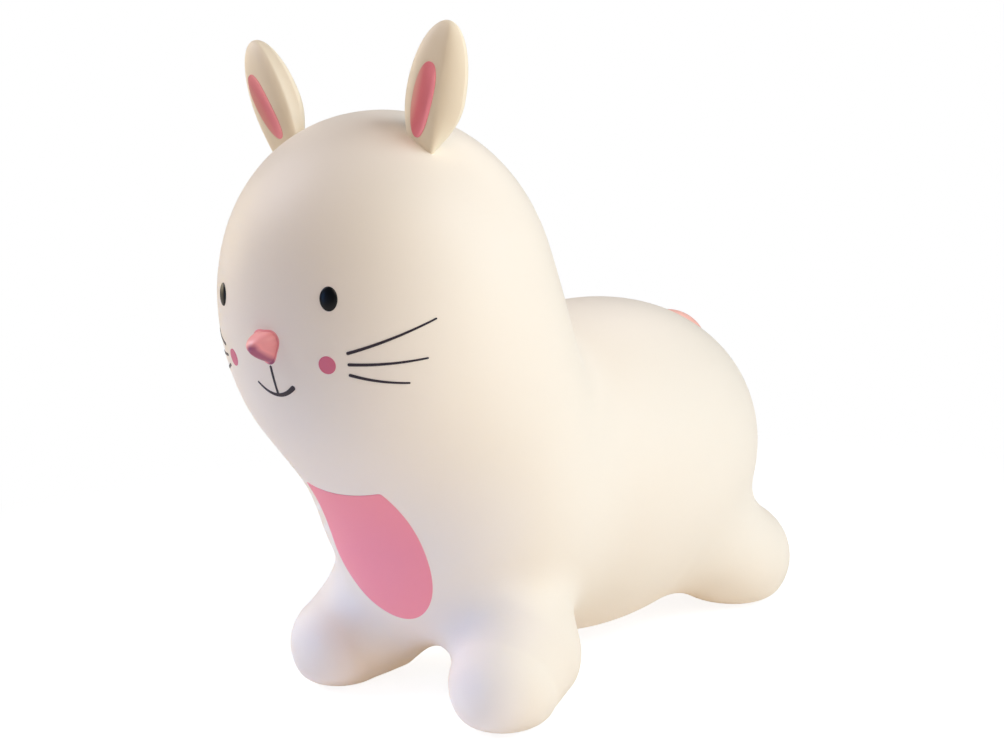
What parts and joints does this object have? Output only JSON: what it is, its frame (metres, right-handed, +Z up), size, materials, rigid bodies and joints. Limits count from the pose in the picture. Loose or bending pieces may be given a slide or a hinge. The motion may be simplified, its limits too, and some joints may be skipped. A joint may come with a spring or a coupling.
{
  "type": "inflatable ride-on hopper",
  "caption": "Inflatable ride-on rabbit: a blown-up vinyl body on round feet, upright ears, painted face, and a plug in the belly valve that pulls out.",
  "frame": {"origin": "on the floor under the middle of the part's bounding box", "axes": "+Z up, -Y the way the animal faces, +X the animal's left"},
  "size_m": [0.2556, 0.5569, 0.504],
  "materials": {
    "cream_vinyl": "matt, soft, blown-up vinyl skin",
    "lining_pink": "matt colour in the hollow of the ear",
    "nose_pink": "satin moulded bump",
    "tail_pink": "matt moulded dome",
    "eye_black": "glossy black",
    "cheek_pink": "matt colour film",
    "dark_ink": "matt colour film",
    "chest_pink": "matt colour film",
    "valve_rubber": "satin off-white rubber"
  },
  "bodies": {
    "toy": {"body_skin": "cream_vinyl", "left_ear": "cream_vinyl", "right_ear": "cream_vinyl", "left_ear_lining": "lining_pink", "right_ear_lining": "lining_pink", "nose": "nose_pink", "tail": "tail_pink", "left_eye": "eye_black", "right_eye": "eye_black", "left_cheek": "cheek_pink", "right_cheek": "cheek_pink", "mouth_line": "dark_ink", "left_top_whisker": "dark_ink", "left_middle_whisker": "dark_ink", "left_low_whisker": "dark_ink", "right_top_whisker": "dark_ink", "right_middle_whisker": "dark_ink", "right_low_whisker": "dark_ink", "chest_patch": "chest_pink", "valve_seat": "valve_rubber"},
    "plug": {"valve_plug": "valve_rubber"}
  },
  "joints": [
    {"name": "valve_pull", "type": "slide", "parent": "toy", "child": "plug", "axis": [0, 0, -1], "range_m": [0, 0.0165]}
  ]
}
